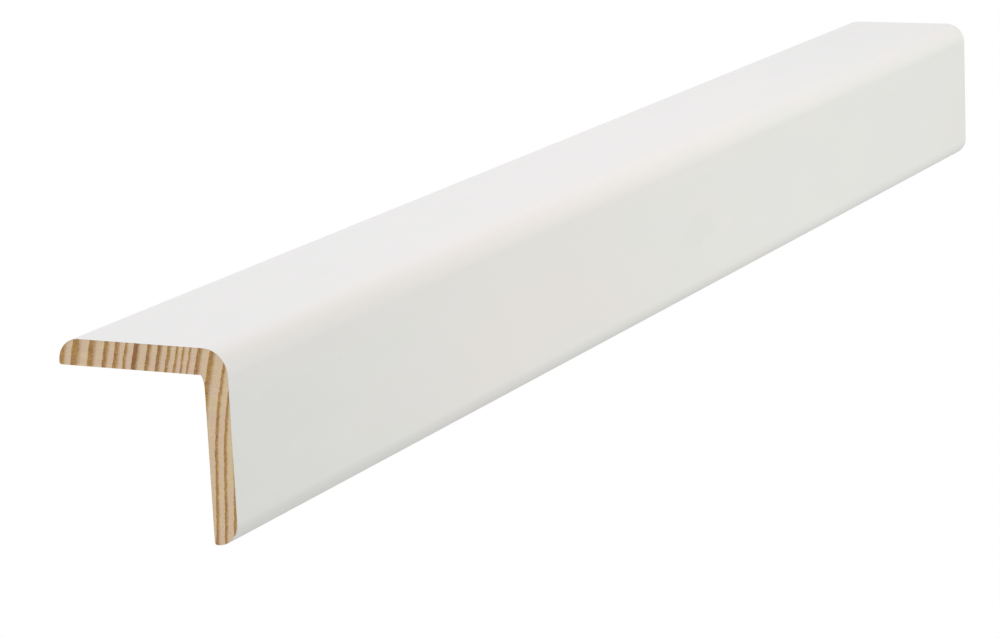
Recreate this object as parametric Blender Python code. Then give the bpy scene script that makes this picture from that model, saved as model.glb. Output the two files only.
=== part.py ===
"""Corner moulding: a painted pine angle that covers the outside corner of a wall, cut square at both ends.

The section is an L of two thin legs, one lying on top and one hanging down in front. Their outer faces meet
in a large round, each leg's tip is rounded off towards its outer face, and the inner corner runs into the
front leg in a long, narrow flare. The origin is where the two inner faces would meet, at mid-length: the
sharp edge of the wall goes there. The length runs along Y, the top leg reaches towards -X, and the front
leg hangs towards -Z. All sizes are in metres.
"""

import math

import bmesh
import bpy

LENGTH = 0.480
TOP_LEG_WIDTH = 0.043
FRONT_LEG_WIDTH = 0.044
LEG_THICKNESS = 0.0061
OUTER_CORNER_RADIUS = 0.0060
TIP_RADIUS = 0.0053
TIP_EASING_RADIUS = 0.0006
INNER_FLARE_WIDTH = 0.0010
INNER_FLARE_HEIGHT = 0.0035

# How many straight facets stand for a quarter of each kind of round.
LARGE_ROUND_FACETS = 16
FLARE_FACETS = 10
EASING_FACETS = 4

# Neighbouring facets of a round differ by less than this, and real edges by more.
SHARP_EDGE_ANGLE = math.radians(30)
# Two rounds that meet end to end share a point.
SAME_POINT_DISTANCE = 0.000002

PAINT_COLOUR = (0.80, 0.80, 0.78, 1.0)
PAINT_ROUGHNESS = 0.45


def clear_scene():
    for scene_object in list(bpy.data.objects):
        bpy.data.objects.remove(scene_object)


def quarter_round(corner, centre, facets, start_along_x):
    """Points of the quarter ellipse that rounds a corner whose two straight sides run along X and Z.

    The ellipse has its centre level with where both sides meet the round. It starts on the side that runs
    along X if start_along_x is true, and on the side that runs along Z otherwise.
    """
    corner_x, corner_z = corner
    centre_x, centre_z = centre
    points = []
    for step in range(facets + 1):
        angle = math.pi / 2 * step / facets
        if start_along_x:
            angle = math.pi / 2 - angle
        x = centre_x + (corner_x - centre_x) * math.cos(angle)
        z = centre_z + (corner_z - centre_z) * math.sin(angle)
        points.append((x, z))
    return points


def section_outline():
    """The L section as (x, z) points, anticlockwise as seen from the near end, which faces -Y."""
    outer_x = LEG_THICKNESS
    outer_z = LEG_THICKNESS
    tip_x = outer_x - TOP_LEG_WIDTH
    foot_z = outer_z - FRONT_LEG_WIDTH
    tip_radius = min(TIP_RADIUS, LEG_THICKNESS - TIP_EASING_RADIUS)

    outer_corner = quarter_round(
        (outer_x, outer_z),
        (outer_x - OUTER_CORNER_RADIUS, outer_z - OUTER_CORNER_RADIUS),
        LARGE_ROUND_FACETS,
        start_along_x=False,
    )
    top_leg_tip = quarter_round(
        (tip_x, outer_z),
        (tip_x + tip_radius, outer_z - tip_radius),
        LARGE_ROUND_FACETS,
        start_along_x=True,
    )
    top_leg_easing = quarter_round(
        (tip_x, 0.0),
        (tip_x + TIP_EASING_RADIUS, TIP_EASING_RADIUS),
        EASING_FACETS,
        start_along_x=False,
    )
    # The flare is hollow: its ellipse is centred in the air, on the wall's side of both legs.
    inner_flare = quarter_round(
        (0.0, 0.0),
        (-INNER_FLARE_WIDTH, -INNER_FLARE_HEIGHT),
        FLARE_FACETS,
        start_along_x=True,
    )
    front_leg_easing = quarter_round(
        (0.0, foot_z),
        (TIP_EASING_RADIUS, foot_z + TIP_EASING_RADIUS),
        EASING_FACETS,
        start_along_x=False,
    )
    front_leg_tip = quarter_round(
        (outer_x, foot_z),
        (outer_x - tip_radius, foot_z + tip_radius),
        LARGE_ROUND_FACETS,
        start_along_x=True,
    )
    return (
        outer_corner
        + top_leg_tip
        + top_leg_easing
        + inner_flare
        + front_leg_easing
        + front_leg_tip
    )


def moulding_mesh():
    """The section drawn on the near end's plane and extruded along the length."""
    form = bmesh.new()
    near_y = -LENGTH / 2
    corners = [form.verts.new((x, near_y, z)) for x, z in section_outline()]
    section = form.faces.new(corners)
    run = bmesh.ops.extrude_face_region(form, geom=[section], use_keep_orig=True)
    far_corners = [item for item in run["geom"] if isinstance(item, bmesh.types.BMVert)]
    bmesh.ops.translate(form, verts=far_corners, vec=(0.0, LENGTH, 0.0))
    bmesh.ops.remove_doubles(form, verts=form.verts, dist=SAME_POINT_DISTANCE)
    bmesh.ops.recalc_face_normals(form, faces=form.faces)
    mesh = bpy.data.meshes.new("corner_moulding")
    form.to_mesh(mesh)
    form.free()
    mesh.shade_smooth()
    mesh.set_sharp_from_angle(angle=SHARP_EDGE_ANGLE)
    return mesh


def satin_white_paint():
    material = bpy.data.materials.new("satin_white_paint")
    material.use_nodes = True
    shader = material.node_tree.nodes["Principled BSDF"]
    shader.inputs["Base Color"].default_value = PAINT_COLOUR
    shader.inputs["Roughness"].default_value = PAINT_ROUGHNESS
    shader.inputs["Metallic"].default_value = 0.0
    return material


def main():
    clear_scene()
    moulding = bpy.data.objects.new("corner_moulding", moulding_mesh())
    moulding.data.materials.append(satin_white_paint())
    bpy.context.scene.collection.objects.link(moulding)


main()
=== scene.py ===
"""The looks of the corner moulding: satin white paint over pine, with bare sawn ends and bare planed backs.

The moulding is drawn again over its solid, with finer rounds, eased cuts and the relief of its end grain.
One set of growth rings, measured from the pith of the tree that the wood came from, runs through the whole
piece, so the rings on the cuts and the grain on the backs belong together. All sizes are in metres unless a
name says otherwise.
"""

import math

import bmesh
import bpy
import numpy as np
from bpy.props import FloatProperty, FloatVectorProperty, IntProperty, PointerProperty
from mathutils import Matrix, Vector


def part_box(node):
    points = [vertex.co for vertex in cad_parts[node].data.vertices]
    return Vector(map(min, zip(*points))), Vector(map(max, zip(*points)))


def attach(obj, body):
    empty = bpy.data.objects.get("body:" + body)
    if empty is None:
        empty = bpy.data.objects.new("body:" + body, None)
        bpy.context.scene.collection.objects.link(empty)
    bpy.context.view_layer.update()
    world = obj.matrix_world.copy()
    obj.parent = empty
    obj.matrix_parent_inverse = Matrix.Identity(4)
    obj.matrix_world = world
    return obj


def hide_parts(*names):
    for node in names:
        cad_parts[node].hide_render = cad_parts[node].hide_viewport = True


bl_info = {
    "name": "Corner moulding",
    "version": (1, 0, 0),
    "blender": (4, 5, 0),
    "location": "3D View > Sidebar > Moulding",
    "description": "Makes a painted pine corner moulding and the white stage that shows it",
    "category": "Add Mesh",
}

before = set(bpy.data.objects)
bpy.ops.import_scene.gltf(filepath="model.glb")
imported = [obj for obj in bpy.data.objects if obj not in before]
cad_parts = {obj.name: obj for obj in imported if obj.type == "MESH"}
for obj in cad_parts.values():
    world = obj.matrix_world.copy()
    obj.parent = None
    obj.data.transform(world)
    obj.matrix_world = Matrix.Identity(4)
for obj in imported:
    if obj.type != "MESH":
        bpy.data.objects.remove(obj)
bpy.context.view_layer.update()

SOLID_NODE = "corner_moulding"
PIECE_NAME = "painted_corner_moulding"
SOLID_LOW, SOLID_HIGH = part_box(SOLID_NODE)
LENGTH = SOLID_HIGH.y - SOLID_LOW.y
MILLIMETRE = 0.001

# The tree: where its pith lay beside the moulding, and how far from it the first year in the wood began.
PITH_X = 0.2465
PITH_Z = -0.0456
FIRST_YEAR_RADIUS = 0.2370
# The years from the pith outwards: how many millimetres each one grew, how dark its autumn wood is, and how
# wide its band of autumn wood is beside that of the year with the widest.
YEARS = (
    (2.5, 0.15, 0.68), (2.5, 0.15, 0.68), (2.25, 0.2, 0.68), (2.2, 0.2, 0.74), (3.7, 0.2, 0.8),
    (3.1, 0.35, 0.85), (1.9, 0.1, 0.6), (1.6, 0.0, 0.72), (1.7, 0.05, 0.83), (2.1, 0.2, 0.87),
    (2.4, 0.55, 0.9), (2.6, 0.45, 0.87), (3.4, 1.0, 0.87), (2.2, 0.15, 0.78), (2.5, 0.3, 1.0),
    (2.7, 0.35, 0.93), (3.8, 0.25, 0.9), (4.25, 0.2, 1.0), (2.9, 0.0, 1.0), (3.2, 0.3, 0.87),
    (3.0, 0.3, 0.87),
)
# How dark the wood is through the year with the widest band, from its spring to its autumn: each pair is
# the share of the year's growth and the share of latewood. It darkens slowly, and pales at once in the next
# spring.
YEAR_DARKENING = (
    (0.0, 0.0), (0.36, 0.03), (0.54, 0.5), (0.655, 0.94), (0.735, 1.0), (0.971, 1.0), (1.0, 0.0),
)
# The oldest wood is yellower: fully so until the first of these years, and not at all after the second.
OLD_YEARS = (2.5, 5.5)
# The rings aren't true circles: they wave round the tree and along it, and lean as the trunk tapers.
ROUND_WAVE_DEPTH = 0.00032
ROUND_WAVE_LENGTH = 0.0418
ROUND_WAVE_MIDDLE = 0.0006
LONG_WAVE_DEPTH = 0.0007
LONG_WAVE_LENGTH = 0.33
TAPER_OVER_LENGTH = 0.0021
# The rings wander freely between the two cuts. Close up, the rays that cross a ring kink it, and its edge
# is ragged.
WANDER_DEPTH = 0.0022
KINK_DEPTH = 0.00022
RAGGED_DEPTH = 0.00014

# How fine each pattern is: its number of patches to a metre along X, Y and Z. Those of the wood are drawn
# out along its length, but for the rays, which run out from the pith and so along X here.
WANDER_PATCHES = (16.0, 9.0, 16.0)
KINK_PATCHES = (650.0, 18.0, 650.0)
RAGGED_PATCHES = (1900.0, 40.0, 1900.0)
FIBRE_PATCHES = (2700.0, 50.0, 2700.0)
BEAD_PATCHES = (1500.0, 25.0, 900.0)
GOLD_PATCHES = (340.0, 9.0, 340.0)
STRAW_PATCHES = (260.0, 9.0, 260.0)
RESIN_CANALS = (900.0, 26.0, 900.0)
RAYS = (110.0, 90.0, 3300.0)
SAW_FUR = (1600.0, 1600.0, 1600.0)
PAINT_CLOUDS = (60.0, 28.0, 60.0)
PAINT_GLOSS_PATCHES = (90.0, 30.0, 90.0)
PAINT_RIPPLES = (420.0, 260.0, 420.0)
RAISED_FIBRES = (1500.0, 14.0, 1500.0)
DUST_NIBS = (45.0, 45.0, 45.0)
OVERSPRAY_EDGE = (500.0, 160.0, 500.0)

# How strongly the fibres show on each bare surface, and how many times more so in the dense wood.
SAWN_FIBRES = 0.42
PLANED_FIBRES = 0.60
DENSE_WOOD_FIBRES = 4.6
# The beads of the dense wood: how much each changes its redness and its shade.
BEAD_REDNESS = 1.1
BEAD_SHADE = -0.35
# The dense wood passes from its plain colour to its darkest between these two levels of redness.
REDNESS_RANGE = (-0.2, 1.1)
# Smooth noise becomes soft patches, clouds or thin rays where it passes from the first value to the second.
PATCH_EDGE = (0.35, 0.65)
CLOUD_EDGE = (0.44, 0.66)
RAY_EDGE = (0.55, 0.72)
GLOSS_EDGE = (0.3, 0.7)
# How much brighter a ray is, and how much darker a resin canal is in the pale wood and in the dense wood.
RAY_BRIGHTNESS = 0.07
CANAL_DARKNESS = (0.11, 0.32)
# Wood counts as pale up to the first of these shares of latewood, and as dense from the second.
PALE_TO_DENSE = (0.2, 0.9)
# The inner and outer radius of a resin canal and of a dust nib, as shares of the distance between two.
CANAL_RADII = (0.08, 0.18)
NIB_RADII = (0.003, 0.012)

# Roughness of the paint in its glossy and its dull patches, of the pale and the dense wood on a saw cut, of
# the planed wood, and of the thin paint that ran onto it.
PAINT_ROUGHNESS = (0.40, 0.48)
SAWN_ROUGHNESS = (0.85, 0.72)
PLANED_ROUGHNESS = 0.68
OVERSPRAY_ROUGHNESS = 0.48
# The thin paint fades out between its width and this many times its width.
OVERSPRAY_FADE = 1.25

# The saw met the cut on a slant, so its marks run aslant too.
SAW_SLANT = math.radians(62)
# The planer's knives left a row of faint hollows at this distance.
PLANER_CHATTER = 0.0016

# Marks in the paint, and a painted warm highlight along the corner round: the centre of each, its reach
# along X, Y and Z, and how ragged its edge is.
FRONT_X = SOLID_HIGH.x
WARM_FACE_PATCH = ((FRONT_X, -0.095, -0.021), (0.020, 0.120, 0.024), 0.8)
# The patch along the corner round is a painted highlight: a warm band of light put into the paint's colour.
WARM_ROUND_HIGHLIGHT = ((0.0045, -0.12, 0.0010), (0.013, 0.24, 0.011), 0.7)
KNOT = ((FRONT_X, 0.0150, -0.0188), (0.004, 0.0160, 0.0064), 0.9)
DIRT_SPECK = ((FRONT_X, -0.1917, -0.0072), (0.0004, 0.00022, 0.00036), 0.3)
# A mark is even out to this share of its reach, and fades from there.
MARK_CORE = 0.3
# How strong the clouds and the painted warm highlight along the round are beside the patch on the front
# face.
CLOUD_STRENGTH = 0.55
ROUND_HIGHLIGHT_STRENGTH = 0.65

# The far lamps: name, the side that they shine from, colour, strength, and how broad they look.
FAR_LAMPS = (
    ("Window", (-1.0, 0.0, 1.0), (0.71, 0.81, 1.0), 0.79, math.radians(40)),
    ("Front lamp", (0.0, -1.0, 0.0), (1.0, 1.0, 1.0), 0.56, math.radians(20)),
)
# The soft lamps: name, place, target, colour, power in watts, and width and height.
SOFT_LAMPS = (
    ("Near side lamp", (0.52, 0.09, 0.02), (0.0, 0.09, 0.0), (1.0, 0.93, 0.89), 0.63, (0.22, 0.16)),
    ("Far side lamp", (0.52, 0.45, -0.15), (0.0, 0.30, -0.03), (0.84, 0.99, 1.0), 0.38, (0.22, 0.16)),
    ("Top lamp", (0.03, 0.0, 0.5), (-0.005, 0.0, 0.0), (1.0, 0.67, 0.72), 0.378, (0.15, 0.25)),
    ("Low lamp", (0.0, 0.16, -0.40), (0.0, 0.16, 0.0), (1.0, 1.0, 1.0), 0.10, (0.10, 0.30)),
)

# Neighbouring facets of a round differ by less than this, and real edges by more.
SHARP_EDGE_ANGLE = math.radians(30)
# Points nearer to each other than this are one point.
SAME_POINT_DISTANCE = 0.000002
# The order of the materials on the mesh.
PAINTED, SAWN, PLANED = range(3)


def ring_radius(x, y, z):
    """How far from the pith the wood on a cut grew, with the waves and the lean of the rings."""
    along = y - SOLID_LOW.y
    radius = np.hypot(x - PITH_X, z - PITH_Z)
    radius = radius + ROUND_WAVE_DEPTH * np.sin(math.tau * (z - ROUND_WAVE_MIDDLE) / ROUND_WAVE_LENGTH)
    radius = radius + LONG_WAVE_DEPTH * np.sin(math.tau * along / LONG_WAVE_LENGTH)
    return radius + TAPER_OVER_LENGTH * along / LENGTH


def year_edges():
    """Distance from the pith at which each year begins, and the last one ends."""
    growth = np.array([millimetres for millimetres, _, _ in YEARS]) * MILLIMETRE
    return FIRST_YEAR_RADIUS + np.concatenate(([0.0], np.cumsum(growth)))


def latewood_share(x, y, z):
    """The share of dense autumn wood at a place on either cut."""
    edges = year_edges()
    years = np.interp(ring_radius(x, y, z), edges, np.arange(len(edges)))
    band_widths = np.array([width for _, _, width in YEARS])
    year_numbers = np.minimum(years.astype(int), len(YEARS) - 1)
    still_to_grow = (1.0 - years % 1.0) / band_widths[year_numbers]
    growth_done, share = zip(*YEAR_DARKENING)
    return np.interp(1.0 - still_to_grow, growth_done, share)


class MouldingSizes(bpy.types.PropertyGroup):
    """Sizes of the moulding that the frame doesn't give."""

    corner_radius: FloatProperty(
        name="Corner radius", description="Round where the two outer faces meet",
        default=0.0060, unit="LENGTH",
    )
    tip_radius: FloatProperty(
        name="Tip radius", description="Round of each leg's tip towards its outer face",
        default=0.0053, unit="LENGTH",
    )
    tip_easing: FloatProperty(
        name="Tip easing", description="Small round of each tip towards the wall",
        default=0.0006, unit="LENGTH",
    )
    flare_width: FloatProperty(
        name="Flare width", description="Reach of the inner flare along the top leg",
        default=0.0010, unit="LENGTH",
    )
    flare_height: FloatProperty(
        name="Flare height", description="Reach of the inner flare down the front leg",
        default=0.0035, unit="LENGTH",
    )
    round_facets: IntProperty(
        name="Round facets", description="Facets to a quarter turn of the large rounds", default=32, min=4
    )
    cut_easing: FloatProperty(
        name="Cut easing", description="Broken edge round each saw cut", default=0.00008, unit="LENGTH"
    )
    relief_pitch: FloatProperty(
        name="Relief pitch", description="Size of the squares that the end grain is modelled with",
        default=0.00015, unit="LENGTH",
    )
    earlywood_sink: FloatProperty(
        name="Earlywood sink", description="How far the soft wood lies below the dense wood on a cut",
        default=0.00006, unit="LENGTH",
    )
    saw_mark_depth: FloatProperty(
        name="Saw mark depth", description="Depth of the marks that the saw left",
        default=0.000014, unit="LENGTH",
    )
    saw_mark_pitch: FloatProperty(
        name="Saw mark pitch", description="Distance between two marks of the saw",
        default=0.0014, unit="LENGTH",
    )


class PineColours(bpy.types.PropertyGroup):
    """Colours of the bare pine."""

    sawn_earlywood: FloatVectorProperty(
        name="Sawn earlywood", description="Pale spring wood on a saw cut",
        default=(0.743, 0.565, 0.384), subtype="COLOR", min=0.0, max=1.0,
    )
    sawn_latewood: FloatVectorProperty(
        name="Sawn latewood", description="Ochre autumn wood on a saw cut",
        default=(0.485, 0.278, 0.096), subtype="COLOR", min=0.0, max=1.0,
    )
    sawn_dark_latewood: FloatVectorProperty(
        name="Sawn dark latewood", description="The reddest and darkest autumn wood on a saw cut",
        default=(0.320, 0.158, 0.058), subtype="COLOR", min=0.0, max=1.0,
    )
    planed_earlywood: FloatVectorProperty(
        name="Planed earlywood", description="Pale spring wood on a planed back",
        default=(0.74, 0.59, 0.42), subtype="COLOR", min=0.0, max=1.0,
    )
    planed_latewood: FloatVectorProperty(
        name="Planed latewood", description="Ochre autumn wood on a planed back",
        default=(0.55, 0.35, 0.17), subtype="COLOR", min=0.0, max=1.0,
    )
    planed_dark_latewood: FloatVectorProperty(
        name="Planed dark latewood", description="The reddest and darkest autumn wood on a planed back",
        default=(0.46, 0.26, 0.115), subtype="COLOR", min=0.0, max=1.0,
    )


class PaintLook(bpy.types.PropertyGroup):
    """Colours and gloss of the paint."""

    white: FloatVectorProperty(
        name="White", description="The satin white paint", default=(0.788, 0.799, 0.766),
        subtype="COLOR", min=0.0, max=1.0,
    )
    # Warm white is used for the pinker patches of the paint and also for the painted warm highlight along
    # the corner round.
    warm_white: FloatVectorProperty(
        name="Warm white", description="The paint where it dried a little pinker",
        default=(0.815, 0.797, 0.765), subtype="COLOR", min=0.0, max=1.0,
    )
    knot_tint: FloatVectorProperty(
        name="Knot tint", description="The paint over a small knot", default=(0.776, 0.787, 0.751),
        subtype="COLOR", min=0.0, max=1.0,
    )
    dirt: FloatVectorProperty(
        name="Dirt", description="The speck caught in the paint", default=(0.66, 0.67, 0.61),
        subtype="COLOR", min=0.0, max=1.0,
    )
    overspray_width: FloatProperty(
        name="Overspray width", description="How far the paint runs round each tip onto the back",
        default=0.0012, unit="LENGTH",
    )


class StageSettings(bpy.types.PropertyGroup):
    """Camera, lights and floor."""

    lens: FloatProperty(
        name="Lens", description="Focal length of the camera", default=124.85, unit="CAMERA",
    )
    camera_place: FloatVectorProperty(
        name="Camera place", description="Where the camera stands", default=(0.38518, -0.85544, 0.17416),
        subtype="TRANSLATION", unit="LENGTH",
    )
    camera_yaw: FloatProperty(
        name="Camera yaw", description="Turn of the camera to the left",
        default=math.radians(26.980), unit="ROTATION",
    )
    camera_pitch: FloatProperty(
        name="Camera pitch", description="Tilt of the camera down",
        default=math.radians(12.833), unit="ROTATION",
    )
    camera_roll: FloatProperty(
        name="Camera roll", description="Lean of the camera to the right",
        default=math.radians(2.641), unit="ROTATION",
    )
    room_light: FloatProperty(
        name="Room light", description="Light that the white room sends to the moulding",
        default=0.809, min=0.0,
    )
    floor_bounce: FloatProperty(
        name="Floor bounce", description="Light that the floor sends back up", default=0.548, min=0.0,
    )
    floor_drop: FloatProperty(
        name="Floor drop", description="How far the floor lies below the moulding",
        default=0.45, unit="LENGTH",
    )
    floor_size: FloatProperty(
        name="Floor size", description="Width of the floor", default=40.0, unit="LENGTH",
    )


def round_corner(form, corner, width, height, facets):
    """Rounds a corner of the flat outline by a quarter ellipse: a round one cut in a stretched outline."""
    about = Matrix.Translation(-corner.co)
    bmesh.ops.scale(form, vec=(1.0, 1.0, width / height), space=about, verts=form.verts)
    bmesh.ops.bevel(
        form, geom=[corner], offset=width, offset_type="OFFSET", segments=facets, profile=0.5,
        affect="VERTICES", material=-1,
    )
    bmesh.ops.scale(form, vec=(1.0, 1.0, height / width), space=about, verts=form.verts)


def draw_section(form, sizes):
    """The L section on the near cut's plane, with its rounds and its inner flare."""
    thickness = SOLID_HIGH.x
    if sizes.tip_radius + sizes.tip_easing > thickness:
        raise ValueError("The two rounds of a tip don't fit into the thickness of a leg")
    outline = (
        (SOLID_HIGH.x, SOLID_HIGH.z),
        (SOLID_LOW.x, SOLID_HIGH.z),
        (SOLID_LOW.x, 0.0),
        (0.0, 0.0),
        (0.0, SOLID_LOW.z),
        (SOLID_HIGH.x, SOLID_LOW.z),
    )
    near_y = SOLID_LOW.y + sizes.cut_easing
    corners = [form.verts.new((x, near_y, z)) for x, z in outline]
    form.faces.new(corners)
    outer_corner, top_tip, top_easing, inner_corner, foot_easing, foot_tip = corners
    round_corner(form, outer_corner, sizes.corner_radius, sizes.corner_radius, sizes.round_facets)
    round_corner(form, top_tip, sizes.tip_radius, sizes.tip_radius, sizes.round_facets)
    round_corner(form, foot_tip, sizes.tip_radius, sizes.tip_radius, sizes.round_facets)
    round_corner(form, top_easing, sizes.tip_easing, sizes.tip_easing, sizes.round_facets // 4)
    round_corner(form, foot_easing, sizes.tip_easing, sizes.tip_easing, sizes.round_facets // 4)
    round_corner(form, inner_corner, sizes.flare_width, sizes.flare_height, sizes.round_facets // 2)


def draw_out_length(form, sizes):
    """Extrudes the section along the length and breaks the edge round both cuts. Returns the cut faces."""
    run = bmesh.ops.extrude_face_region(form, geom=form.faces[:], use_keep_orig=True)
    far_corners = [item for item in run["geom"] if isinstance(item, bmesh.types.BMVert)]
    bmesh.ops.translate(form, verts=far_corners, vec=(0.0, LENGTH - 2.0 * sizes.cut_easing, 0.0))
    bmesh.ops.recalc_face_normals(form, faces=form.faces)
    cuts = [face for face in form.faces if abs(face.normal.y) > 0.5]
    for cut in cuts:
        bmesh.ops.inset_region(
            form, faces=[cut], thickness=sizes.cut_easing, depth=sizes.cut_easing,
            use_boundary=True, use_even_offset=True,
        )
    return cuts


def cut_into_squares(form, cut, pitch):
    """Divides a cut face into small squares. Returns its faces, edges and vertices."""
    depth = cut.calc_center_median().y
    patch = [cut, *cut.edges, *cut.verts]
    for across, low, high in (
        (Vector((1.0, 0.0, 0.0)), SOLID_LOW.x, SOLID_HIGH.x),
        (Vector((0.0, 0.0, 1.0)), SOLID_LOW.z, SOLID_HIGH.z),
    ):
        for step in range(1, math.ceil((high - low) / pitch)):
            place = across * (low + step * pitch) + Vector((0.0, depth, 0.0))
            patch = bmesh.ops.bisect_plane(form, geom=patch, plane_co=place, plane_no=across)["geom"]
    return patch


def carve_end_grain(patch, sizes):
    """Sinks the soft wood of a cut below the dense rings and scores it with the marks of the saw."""
    squares = {item for item in patch if isinstance(item, bmesh.types.BMFace)}
    verts = [item for item in patch if isinstance(item, bmesh.types.BMVert)]
    inside = [vert for vert in verts if all(face in squares for face in vert.link_faces)]
    x, y, z = np.array([vert.co[:] for vert in inside]).T
    saw_stroke = (x * math.cos(SAW_SLANT) + z * math.sin(SAW_SLANT)) / sizes.saw_mark_pitch
    saw_marks = 0.5 + 0.5 * np.sin(math.tau * saw_stroke)
    sink = sizes.earlywood_sink * (1.0 - latewood_share(x, y, z)) + sizes.saw_mark_depth * saw_marks
    inward = -np.sign(y)
    for vert, new_y in zip(inside, y + inward * sink):
        vert.co.y = new_y


def choose_finishes(form, patches, easing):
    """Gives each face its material: paint outside, sawn wood on the cuts and planed wood by the wall."""
    for face in form.faces:
        centre = face.calc_center_median()
        towards_wall = centre.x < easing and centre.z < easing
        face.material_index = PLANED if towards_wall else PAINTED
        face.smooth = True
    for patch in patches:
        for item in patch:
            if isinstance(item, bmesh.types.BMFace):
                item.material_index = SAWN


def moulding_mesh(sizes):
    """The whole moulding as one closed mesh."""
    form = bmesh.new()
    draw_section(form, sizes)
    cuts = draw_out_length(form, sizes)
    patches = [cut_into_squares(form, cut, sizes.relief_pitch) for cut in cuts]
    for patch in patches:
        carve_end_grain(patch, sizes)
    choose_finishes(form, patches, sizes.cut_easing)
    # A plane that passes close by a point of the outline leaves two points in one place.
    bmesh.ops.remove_doubles(form, verts=form.verts, dist=SAME_POINT_DISTANCE)
    # Beside a cut, a face has many points along one edge. It is divided well here.
    many_sided = [face for face in form.faces if len(face.verts) > 4]
    bmesh.ops.triangulate(form, faces=many_sided, quad_method="BEAUTY", ngon_method="BEAUTY")
    mesh = bpy.data.meshes.new(PIECE_NAME)
    form.to_mesh(mesh)
    form.free()
    mesh.set_sharp_from_angle(angle=SHARP_EDGE_ANGLE)
    return mesh


def add_node(tree, kind, inputs=None, **settings):
    """A new node. Each of its inputs is set to a plain value or joined to another node's socket."""
    node = tree.nodes.new(kind)
    for name, value in settings.items():
        setattr(node, name, value)
    for name, value in (inputs or {}).items():
        if isinstance(value, bpy.types.NodeSocket):
            tree.links.new(value, node.inputs[name])
        else:
            node.inputs[name].default_value = value
    return node


def maths(tree, operation, *values):
    """The result of one step of arithmetic."""
    return add_node(tree, "ShaderNodeMath", dict(enumerate(values)), operation=operation).outputs[0]


def stretched(tree, position, scale):
    """Positions multiplied along each axis, so that a pattern is finer one way than another."""
    inputs = {0: position, 1: scale}
    return add_node(tree, "ShaderNodeVectorMath", inputs, operation="MULTIPLY").outputs[0]


def noise(tree, position, scale, detail=2.0, roughness=0.5):
    """Smooth noise around one half. The scale is the number of patches to a metre along X, Y and Z."""
    inputs = {
        "Vector": stretched(tree, position, scale),
        "Scale": 1.0,
        "Detail": detail,
        "Roughness": roughness,
    }
    return add_node(tree, "ShaderNodeTexNoise", inputs).outputs[0]


def distance_to_cells(tree, position, scale):
    """The distance from the nearest of many scattered points."""
    inputs = {"Vector": stretched(tree, position, scale), "Scale": 1.0}
    return add_node(tree, "ShaderNodeTexVoronoi", inputs).outputs["Distance"]


def soft_step(tree, value, low, high, start=0.0, end=1.0):
    """Passes softly from start to end while the value goes from low to high."""
    inputs = {"Value": value, "From Min": low, "From Max": high, "To Min": start, "To Max": end}
    return add_node(tree, "ShaderNodeMapRange", inputs, interpolation_type="SMOOTHSTEP").outputs[0]


def mixed_colour(tree, share, first, second):
    """One colour passing into another. On the Mix node, 6 and 7 are the two colours and 2 is the result."""
    return add_node(tree, "ShaderNodeMix", {0: share, 6: first, 7: second}, data_type="RGBA").outputs[2]


def looked_up(tree, value, pairs, interpolation):
    """A value found along a scale of (place, value) pairs."""
    scale = add_node(tree, "ShaderNodeValToRGB", {0: value})
    scale.color_ramp.interpolation = interpolation
    stops = scale.color_ramp.elements
    # Two stops are there from the start.
    for place, _ in pairs[2:]:
        stops.new(place)
    for stop, (place, found) in zip(stops, pairs):
        stop.position = place
        stop.color = (found, found, found, 1.0)
    return scale.outputs[0]


def shifted_colour(tree, colour, hue=0.5, saturation=1.0, value=1.0):
    """A colour with its hue, strength and brightness moved. A hue of one half leaves it as it is."""
    inputs = {"Hue": hue, "Saturation": saturation, "Value": value, "Color": colour}
    return add_node(tree, "ShaderNodeHueSaturation", inputs).outputs[0]


def opaque(colour):
    """A colour as a colour socket takes it."""
    return (*colour, 1.0)


def new_group(name, inputs, outputs):
    """A shader node group with named sockets: its tree, what it is given, and what takes its results."""
    tree = bpy.data.node_groups.new(name, "ShaderNodeTree")
    for socket_name, kind in inputs.items():
        tree.interface.new_socket(socket_name, in_out="INPUT", socket_type=kind)
    for socket_name, kind in outputs.items():
        tree.interface.new_socket(socket_name, in_out="OUTPUT", socket_type=kind)
    return tree, tree.nodes.new("NodeGroupInput").outputs, tree.nodes.new("NodeGroupOutput").inputs


def years_from_radius(tree, radius):
    """Turns a distance from the pith into a number of years."""
    edges = year_edges()
    span = edges[-1] - edges[0]
    years = len(YEARS)
    share = maths(tree, "DIVIDE", maths(tree, "SUBTRACT", radius, float(edges[0])), float(span))
    curve = add_node(tree, "ShaderNodeFloatCurve", {"Value": share})
    points = curve.mapping.curves[0].points
    for year in range(1, years):
        points.new(float((edges[year] - edges[0]) / span), year / years)
    for point in points:
        point.handle_type = "VECTOR"
    curve.mapping.update()
    return maths(tree, "MULTIPLY", curve.outputs[0], float(years))


def year_by_year(tree, years, values):
    """A value of its own for each year, the same all through the year."""
    pairs = [(number / len(YEARS), value) for number, value in enumerate(values)]
    return looked_up(tree, maths(tree, "DIVIDE", years, float(len(YEARS))), pairs, "CONSTANT")


def latewood_from_years(tree, years):
    """The share of dense autumn wood, from how far a year's growth has come."""
    band_width = year_by_year(tree, years, [width for _, _, width in YEARS])
    left_of_year = maths(tree, "SUBTRACT", 1.0, maths(tree, "FRACT", years))
    still_to_grow = maths(tree, "DIVIDE", left_of_year, band_width)
    return looked_up(tree, maths(tree, "SUBTRACT", 1.0, still_to_grow), YEAR_DARKENING, "LINEAR")


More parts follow.
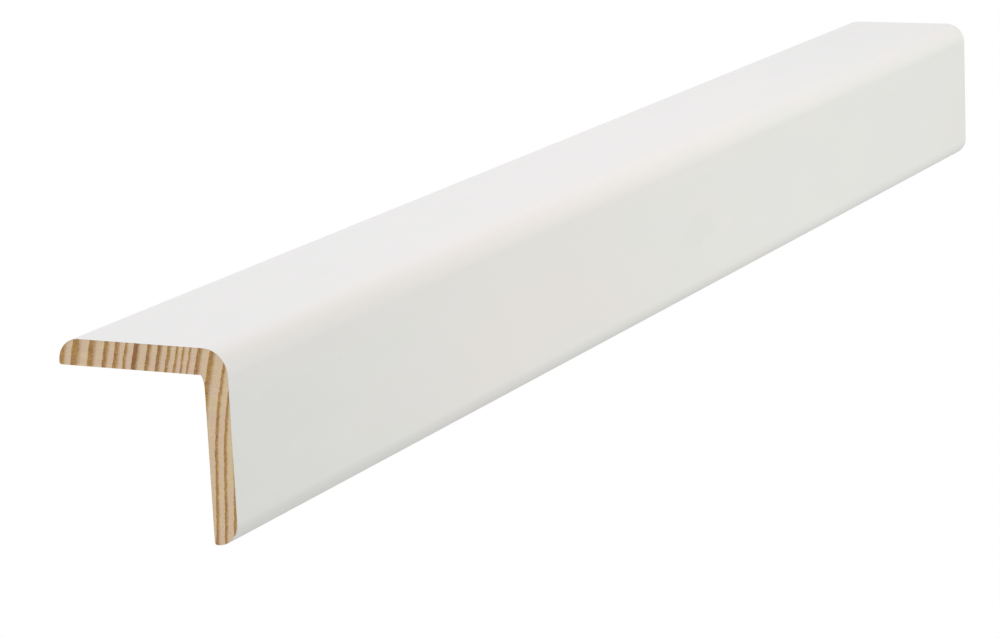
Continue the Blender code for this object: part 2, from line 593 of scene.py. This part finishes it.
def growth_rings_group():
    """Latewood, a tone for each year, how old the wood is, and fine fibre, all from the place in it."""
    tree, given, result = new_group(
        "Growth rings",
        {"Position": "NodeSocketVector"},
        {
            "Latewood": "NodeSocketFloat",
            "Year tone": "NodeSocketFloat",
            "Old wood": "NodeSocketFloat",
            "Fibre": "NodeSocketFloat",
        },
    )
    position = given["Position"]
    across = stretched(tree, position, (1.0, 0.0, 1.0))
    from_pith = {0: across, 1: (PITH_X, 0.0, PITH_Z)}
    radius = add_node(tree, "ShaderNodeVectorMath", from_pith, operation="DISTANCE").outputs["Value"]
    parts = add_node(tree, "ShaderNodeSeparateXYZ", {0: position}).outputs
    along = maths(tree, "SUBTRACT", parts["Y"], SOLID_LOW.y)
    height = maths(tree, "SUBTRACT", parts["Z"], ROUND_WAVE_MIDDLE)

    round_wave = maths(tree, "SINE", maths(tree, "MULTIPLY", height, math.tau / ROUND_WAVE_LENGTH))
    radius = maths(tree, "MULTIPLY_ADD", round_wave, ROUND_WAVE_DEPTH, radius)
    long_wave = maths(tree, "SINE", maths(tree, "MULTIPLY", along, math.tau / LONG_WAVE_LENGTH))
    radius = maths(tree, "MULTIPLY_ADD", long_wave, LONG_WAVE_DEPTH, radius)
    radius = maths(tree, "MULTIPLY_ADD", along, TAPER_OVER_LENGTH / LENGTH, radius)

    # The free wander fades out towards both cuts, where the rings have to meet the relief.
    fade = maths(tree, "SINE", maths(tree, "MULTIPLY", along, math.pi / LENGTH))
    drift = noise(tree, position, WANDER_PATCHES, detail=2.0, roughness=0.4)
    drift = maths(tree, "SUBTRACT", drift, 0.5)
    wander = maths(tree, "MULTIPLY", drift, maths(tree, "MULTIPLY", fade, 2.0 * WANDER_DEPTH))
    radius = maths(tree, "ADD", radius, wander)
    for scale, depth in ((KINK_PATCHES, KINK_DEPTH), (RAGGED_PATCHES, RAGGED_DEPTH)):
        rag = maths(tree, "SUBTRACT", noise(tree, position, scale, detail=1.0), 0.5)
        radius = maths(tree, "MULTIPLY_ADD", rag, 2.0 * depth, radius)
    years = years_from_radius(tree, radius)

    fibre = noise(tree, position, FIBRE_PATCHES, detail=3.0, roughness=0.65)
    tree.links.new(latewood_from_years(tree, years), result["Latewood"])
    tree.links.new(year_by_year(tree, years, [darkness for _, darkness, _ in YEARS]), result["Year tone"])
    tree.links.new(soft_step(tree, years, *OLD_YEARS, 1.0, 0.0), result["Old wood"])
    tree.links.new(fibre, result["Fibre"])
    return tree


def bare_pine_group(rings):
    """The colour of bare pine, with the masks that its bump and gloss need."""
    tree, given, result = new_group(
        "Bare pine",
        {
            "Position": "NodeSocketVector",
            "Earlywood": "NodeSocketColor",
            "Latewood": "NodeSocketColor",
            "Dark latewood": "NodeSocketColor",
            "Fibre contrast": "NodeSocketFloat",
        },
        {"Color": "NodeSocketColor", "Latewood": "NodeSocketFloat", "Fibre": "NodeSocketFloat"},
    )
    position = given["Position"]
    grain = add_node(tree, "ShaderNodeGroup", node_tree=rings)
    tree.links.new(position, grain.inputs["Position"])
    latewood = grain.outputs["Latewood"]
    fibre = grain.outputs["Fibre"]

    # Some years are redder than others, and the dense wood of each is beaded with darker and paler places.
    beads = maths(tree, "SUBTRACT", noise(tree, position, BEAD_PATCHES, detail=1.0), 0.5)
    redness = maths(tree, "MULTIPLY_ADD", beads, BEAD_REDNESS, grain.outputs["Year tone"])
    redness = soft_step(tree, redness, *REDNESS_RANGE)
    dense = mixed_colour(tree, redness, given["Latewood"], given["Dark latewood"])
    gold = soft_step(tree, noise(tree, position, GOLD_PATCHES, detail=1.0), *PATCH_EDGE)
    redder = shifted_colour(tree, dense, hue=0.496)
    golden = shifted_colour(tree, dense, hue=0.504, saturation=1.03)
    dense = mixed_colour(tree, gold, redder, golden)
    # The pale wood drifts a little between pink and straw.
    drift = soft_step(tree, noise(tree, position, STRAW_PATCHES, detail=1.0), *PATCH_EDGE)
    pinker = shifted_colour(tree, given["Earlywood"], hue=0.490, saturation=0.94)
    strawy = shifted_colour(tree, given["Earlywood"], hue=0.507, saturation=1.02)
    pale = mixed_colour(tree, drift, pinker, strawy)
    yellower = shifted_colour(tree, pale, hue=0.504, saturation=1.08)
    pale = mixed_colour(tree, grain.outputs["Old wood"], pale, yellower)
    colour = mixed_colour(tree, latewood, pale, dense)

    # Resin canals are fine dark pores in the dense wood, drawn out into short lines on the backs.
    pore = soft_step(tree, distance_to_cells(tree, position, RESIN_CANALS), *CANAL_RADII, 1.0, 0.0)
    darkness = soft_step(tree, latewood, *PALE_TO_DENSE, *CANAL_DARKNESS)
    pore = maths(tree, "MULTIPLY", pore, darkness)
    # The dense wood shows its fibres more than the pale wood does.
    strength = soft_step(tree, latewood, 0.0, 1.0, 1.0, DENSE_WOOD_FIBRES)
    contrast = maths(tree, "MULTIPLY", given["Fibre contrast"], strength)
    shade = maths(tree, "MULTIPLY_ADD", maths(tree, "SUBTRACT", fibre, 0.5), contrast, 1.0)
    shade = maths(tree, "MULTIPLY_ADD", beads, maths(tree, "MULTIPLY", latewood, BEAD_SHADE), shade)
    # Rays are thin pale lines that cross the rings.
    rays = noise(tree, position, RAYS, detail=1.0)
    rays = soft_step(tree, rays, *RAY_EDGE, 0.0, RAY_BRIGHTNESS)
    shade = maths(tree, "SUBTRACT", maths(tree, "ADD", shade, rays), pore)
    tree.links.new(shifted_colour(tree, colour, value=shade), result["Color"])
    tree.links.new(latewood, result["Latewood"])
    tree.links.new(fibre, result["Fibre"])
    return tree


def soft_spot_group():
    """A round mask with a ragged soft edge at a given place, for stains, specks and a painted highlight."""
    tree, given, result = new_group(
        "Soft spot",
        {
            "Position": "NodeSocketVector",
            "Centre": "NodeSocketVector",
            "Spots to a metre": "NodeSocketVector",
            "Raggedness": "NodeSocketFloat",
        },
        {"Mask": "NodeSocketFloat"},
    )
    offset = add_node(
        tree, "ShaderNodeVectorMath", {0: given["Position"], 1: given["Centre"]}, operation="SUBTRACT"
    ).outputs[0]
    reached = stretched(tree, offset, given["Spots to a metre"])
    distance = add_node(tree, "ShaderNodeVectorMath", {0: reached}, operation="LENGTH").outputs["Value"]
    rag_pattern = {"Vector": reached, "Scale": 2.0, "Detail": 2.0}
    ragged = maths(tree, "SUBTRACT", add_node(tree, "ShaderNodeTexNoise", rag_pattern).outputs[0], 0.5)
    ragged = maths(tree, "MULTIPLY", ragged, given["Raggedness"])
    mask = soft_step(tree, maths(tree, "ADD", distance, ragged), MARK_CORE, 1.0, 1.0, 0.0)
    tree.links.new(mask, result["Mask"])
    return tree


def spot(tree, group, position, centre, reach, raggedness):
    """The mask of one soft spot, from its centre and its reach along X, Y and Z."""
    inputs = {
        "Position": position,
        "Centre": centre,
        "Spots to a metre": tuple(1.0 / size for size in reach),
        "Raggedness": raggedness,
    }
    return add_node(tree, "ShaderNodeGroup", inputs, node_tree=group).outputs[0]


def new_material(name):
    """A material with one shader: the material, its tree, the shader and the position on the object."""
    material = bpy.data.materials.new(name)
    material.use_nodes = True
    tree = material.node_tree
    shader = tree.nodes["Principled BSDF"]
    position = tree.nodes.new("ShaderNodeTexCoord").outputs["Object"]
    return material, tree, shader, position


def shape_surface(tree, shader, heights):
    """Adds fine relief to the shader. A height is a mask and its depth in thousandths of a millimetre."""
    total = 0.0
    for mask, depth in heights:
        total = maths(tree, "MULTIPLY_ADD", mask, depth, total)
    relief = {"Strength": 1.0, "Distance": MILLIMETRE / 1000.0, "Height": total}
    tree.links.new(add_node(tree, "ShaderNodeBump", relief).outputs[0], shader.inputs["Normal"])


def satin_white_paint(look, rings, spots):
    """White paint that lets the grain of the pine show faintly in its gloss."""
    material, tree, shader, position = new_material("Satin white paint")
    clouds = noise(tree, position, PAINT_CLOUDS, detail=3.0, roughness=0.6)
    clouds = soft_step(tree, clouds, *CLOUD_EDGE, 0.0, CLOUD_STRENGTH)
    face_patch = spot(tree, spots, position, *WARM_FACE_PATCH)
    # A painted warm highlight: a warm band of light along the corner round, put into the paint's colour.
    painted_round_highlight = spot(tree, spots, position, *WARM_ROUND_HIGHLIGHT)
    painted_round_highlight = maths(tree, "MULTIPLY", painted_round_highlight, ROUND_HIGHLIGHT_STRENGTH)
    patches = maths(tree, "MAXIMUM", face_patch, painted_round_highlight)
    # This holds the random pinker tone of the paint together with the painted highlight on the round.
    warm_tone_and_highlight = maths(tree, "MAXIMUM", clouds, patches)
    colour = mixed_colour(tree, warm_tone_and_highlight, opaque(look.white), opaque(look.warm_white))
    knot = spot(tree, spots, position, *KNOT)
    colour = mixed_colour(tree, knot, colour, opaque(look.knot_tint))
    speck = spot(tree, spots, position, *DIRT_SPECK)
    colour = mixed_colour(tree, speck, colour, opaque(look.dirt))
    tree.links.new(colour, shader.inputs["Base Color"])

    gloss = noise(tree, position, PAINT_GLOSS_PATCHES)
    roughness = soft_step(tree, gloss, *GLOSS_EDGE, *PAINT_ROUGHNESS)
    tree.links.new(roughness, shader.inputs["Roughness"])
    grain = add_node(tree, "ShaderNodeGroup", {"Position": position}, node_tree=rings)
    dust_nibs = soft_step(tree, distance_to_cells(tree, position, DUST_NIBS), *NIB_RADII, 1.0, 0.0)
    shape_surface(
        tree,
        shader,
        (
            (noise(tree, position, PAINT_RIPPLES), 12.0),
            (noise(tree, position, RAISED_FIBRES), 5.0),
            (grain.outputs["Latewood"], 8.0),
            (grain.outputs["Fibre"], 1.5),
            (dust_nibs, 16.0),
            (knot, -6.0),
        ),
    )
    return material


def add_bare_pine(tree, pine, position, colours, fibre_contrast):
    """The bare pine group with one surface's colours: earlywood, latewood and dark latewood."""
    earlywood, latewood, dark_latewood = colours
    inputs = {
        "Position": position,
        "Earlywood": opaque(earlywood),
        "Latewood": opaque(latewood),
        "Dark latewood": opaque(dark_latewood),
        "Fibre contrast": fibre_contrast,
    }
    return add_node(tree, "ShaderNodeGroup", inputs, node_tree=pine).outputs


def sawn_end_grain(colours, pine):
    """Bare end grain, dull and a little furry from the saw."""
    material, tree, shader, position = new_material("Sawn end grain")
    sawn_colours = (colours.sawn_earlywood, colours.sawn_latewood, colours.sawn_dark_latewood)
    wood = add_bare_pine(tree, pine, position, sawn_colours, SAWN_FIBRES)
    tree.links.new(wood["Color"], shader.inputs["Base Color"])
    roughness = soft_step(tree, wood["Latewood"], 0.0, 1.0, *SAWN_ROUGHNESS)
    tree.links.new(roughness, shader.inputs["Roughness"])
    shader.inputs["Specular IOR Level"].default_value = 0.3
    shape_surface(
        tree,
        shader,
        (
            (wood["Fibre"], 14.0),
            (noise(tree, position, SAW_FUR), 8.0),
        ),
    )
    return material


def planed_back(look, colours, pine):
    """Bare planed pine towards the wall, with the paint run a little way round each tip."""
    material, tree, shader, position = new_material("Planed back")
    planed_colours = (colours.planed_earlywood, colours.planed_latewood, colours.planed_dark_latewood)
    wood = add_bare_pine(tree, pine, position, planed_colours, PLANED_FIBRES)
    parts = add_node(tree, "ShaderNodeSeparateXYZ", {0: position}).outputs
    from_top_tip = maths(tree, "SUBTRACT", parts["X"], SOLID_LOW.x)
    from_foot = maths(tree, "SUBTRACT", parts["Z"], SOLID_LOW.z)
    from_tip = maths(tree, "MINIMUM", from_top_tip, from_foot)
    ragged = noise(tree, position, OVERSPRAY_EDGE, detail=4.0, roughness=0.7)
    ragged = maths(tree, "SUBTRACT", ragged, 0.5)
    paint_line = maths(tree, "MULTIPLY_ADD", ragged, 2.0 * look.overspray_width, from_tip)
    faded_out = OVERSPRAY_FADE * look.overspray_width
    overspray = soft_step(tree, paint_line, look.overspray_width, faded_out, 1.0, 0.0)
    colour = mixed_colour(tree, overspray, wood["Color"], opaque(look.white))
    tree.links.new(colour, shader.inputs["Base Color"])
    roughness = soft_step(tree, overspray, 0.0, 1.0, PLANED_ROUGHNESS, OVERSPRAY_ROUGHNESS)
    tree.links.new(roughness, shader.inputs["Roughness"])
    shader.inputs["Specular IOR Level"].default_value = 0.4

    chatter = maths(tree, "SINE", maths(tree, "MULTIPLY", parts["Y"], math.tau / PLANER_CHATTER))
    shape_surface(
        tree,
        shader,
        (
            (wood["Latewood"], 10.0),
            (wood["Fibre"], 6.0),
            (chatter, 1.0),
            (overspray, 14.0),
        ),
    )
    return material


def aim_lamp(lamp, place, target):
    """Puts a lamp at a place, pointing at a target."""
    lamp.location = place
    lamp.rotation_euler = (Vector(target) - Vector(place)).to_track_quat("-Z", "Y").to_euler()


def add_lamp(name, kind, place, target, colour, energy):
    """A lamp that the camera doesn't see. Returns its data."""
    data = bpy.data.lights.new(name, kind)
    data.color = colour
    data.energy = energy
    lamp = bpy.data.objects.new(name, data)
    aim_lamp(lamp, place, target)
    lamp.visible_camera = False
    bpy.context.scene.collection.objects.link(lamp)
    return data


def seen_white(tree, strength):
    """Light that is pure white to the camera and has its own strength for everything that it lights."""
    seen = tree.nodes.new("ShaderNodeLightPath").outputs["Is Camera Ray"]
    return soft_step(tree, seen, 0.0, 1.0, strength, 1.0)


def light_room(stage):
    """A plain white room with a cool window high on the left, a lamp in front and soft lamps around."""
    world = bpy.data.worlds.new("White room")
    world.use_nodes = True
    walls = world.node_tree.nodes["Background"]
    walls.inputs["Color"].default_value = (1.0, 1.0, 1.0, 1.0)
    world.node_tree.links.new(seen_white(world.node_tree, stage.room_light), walls.inputs["Strength"])
    bpy.context.scene.world = world

    middle = (0.0, 0.0, 0.0)
    for name, side, colour, strength, breadth in FAR_LAMPS:
        add_lamp(name, "SUN", side, middle, colour, strength).angle = breadth
    for name, place, target, colour, energy, size in SOFT_LAMPS:
        lamp = add_lamp(name, "AREA", place, target, colour, energy)
        lamp.shape = "RECTANGLE"
        lamp.size, lamp.size_y = size


def white_floor_material(bounce):
    """A floor that looks white, sends back less light than it shows, and is clear from below."""
    material = bpy.data.materials.new("White floor")
    material.use_nodes = True
    tree = material.node_tree
    tree.nodes.clear()
    glow = add_node(tree, "ShaderNodeEmission", {"Strength": seen_white(tree, bounce)})
    clear = tree.nodes.new("ShaderNodeBsdfTransparent")
    below = tree.nodes.new("ShaderNodeNewGeometry").outputs["Backfacing"]
    either = add_node(tree, "ShaderNodeMixShader", {0: below, 1: glow.outputs[0], 2: clear.outputs[0]})
    add_node(tree, "ShaderNodeOutputMaterial", {"Surface": either.outputs[0]})
    return material


def lay_floor(stage):
    """The white floor, well below the moulding."""
    form = bmesh.new()
    bmesh.ops.create_grid(form, x_segments=1, y_segments=1, size=stage.floor_size / 2.0)
    bmesh.ops.translate(form, verts=form.verts, vec=(0.0, 0.0, SOLID_LOW.z - stage.floor_drop))
    mesh = bpy.data.meshes.new("white_floor")
    form.to_mesh(mesh)
    form.free()
    mesh.materials.append(white_floor_material(stage.floor_bounce))
    floor = bpy.data.objects.new("white_floor", mesh)
    bpy.context.scene.collection.objects.link(floor)


def place_camera(stage):
    """The camera that took the picture, level and ahead at first, then turned, tilted and leaned."""
    data = bpy.data.cameras.new("camera")
    data.sensor_width = 36.0
    data.lens = stage.lens
    data.clip_start = 0.01
    camera = bpy.data.objects.new("camera", data)
    turn = Matrix.Rotation(stage.camera_yaw, 3, "Z")
    tilt = Matrix.Rotation(math.pi / 2.0 - stage.camera_pitch, 3, "X")
    lean = Matrix.Rotation(-stage.camera_roll, 3, "Z")
    camera.rotation_euler = (turn @ tilt @ lean).to_euler()
    camera.location = stage.camera_place
    bpy.context.scene.collection.objects.link(camera)
    bpy.context.scene.camera = camera


class MOULDING_OT_make_moulding(bpy.types.Operator):
    """Makes the moulding with its eased cuts and end grain, its paint and its bare wood"""

    bl_idname = "moulding.make_moulding"
    bl_label = "Make the moulding"

    def execute(self, context):
        sizes = context.scene.moulding_sizes
        colours = context.scene.moulding_pine
        look = context.scene.moulding_paint
        piece = bpy.data.objects.new(PIECE_NAME, moulding_mesh(sizes))
        rings = growth_rings_group()
        pine = bare_pine_group(rings)
        # In the order of PAINTED, SAWN and PLANED.
        piece.data.materials.append(satin_white_paint(look, rings, soft_spot_group()))
        piece.data.materials.append(sawn_end_grain(colours, pine))
        piece.data.materials.append(planed_back(look, colours, pine))
        context.scene.collection.objects.link(piece)
        even_shading = piece.modifiers.new("even shading", "WEIGHTED_NORMAL")
        even_shading.keep_sharp = True
        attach(piece, "root")
        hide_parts(SOLID_NODE)
        return {"FINISHED"}


class MOULDING_OT_make_stage(bpy.types.Operator):
    """Lays the white floor, lights the room and sets up the camera"""

    bl_idname = "moulding.make_stage"
    bl_label = "Make the stage"

    def execute(self, context):
        stage = context.scene.moulding_stage
        lay_floor(stage)
        light_room(stage)
        place_camera(stage)
        context.scene.view_settings.view_transform = "Standard"
        return {"FINISHED"}


class MOULDING_PT_panel(bpy.types.Panel):
    """Sizes, colours and the two steps that make the scene"""

    bl_idname = "MOULDING_PT_panel"
    bl_label = "Corner moulding"
    bl_space_type = "VIEW_3D"
    bl_region_type = "UI"
    bl_category = "Moulding"

    def draw(self, context):
        layout = self.layout
        for heading, settings, step in (
            ("Sizes", context.scene.moulding_sizes, None),
            ("Pine", context.scene.moulding_pine, None),
            ("Paint", context.scene.moulding_paint, MOULDING_OT_make_moulding),
            ("Stage", context.scene.moulding_stage, MOULDING_OT_make_stage),
        ):
            box = layout.box()
            box.label(text=heading)
            for name in settings.__annotations__:
                box.prop(settings, name)
            if step:
                box.operator(step.bl_idname)


CLASSES = (
    MouldingSizes,
    PineColours,
    PaintLook,
    StageSettings,
    MOULDING_OT_make_moulding,
    MOULDING_OT_make_stage,
    MOULDING_PT_panel,
)


def register():
    """Adds the settings, the two steps and the panel."""
    for kind in CLASSES:
        bpy.utils.register_class(kind)
    bpy.types.Scene.moulding_sizes = PointerProperty(type=MouldingSizes)
    bpy.types.Scene.moulding_pine = PointerProperty(type=PineColours)
    bpy.types.Scene.moulding_paint = PointerProperty(type=PaintLook)
    bpy.types.Scene.moulding_stage = PointerProperty(type=StageSettings)


def unregister():
    """Takes away what register added, in the opposite order."""
    del bpy.types.Scene.moulding_stage
    del bpy.types.Scene.moulding_paint
    del bpy.types.Scene.moulding_pine
    del bpy.types.Scene.moulding_sizes
    for kind in reversed(CLASSES):
        bpy.utils.unregister_class(kind)


def main():
    """Makes the moulding and its stage."""
    register()
    bpy.ops.moulding.make_moulding()
    bpy.ops.moulding.make_stage()


if __name__ == "__main__":
    main()
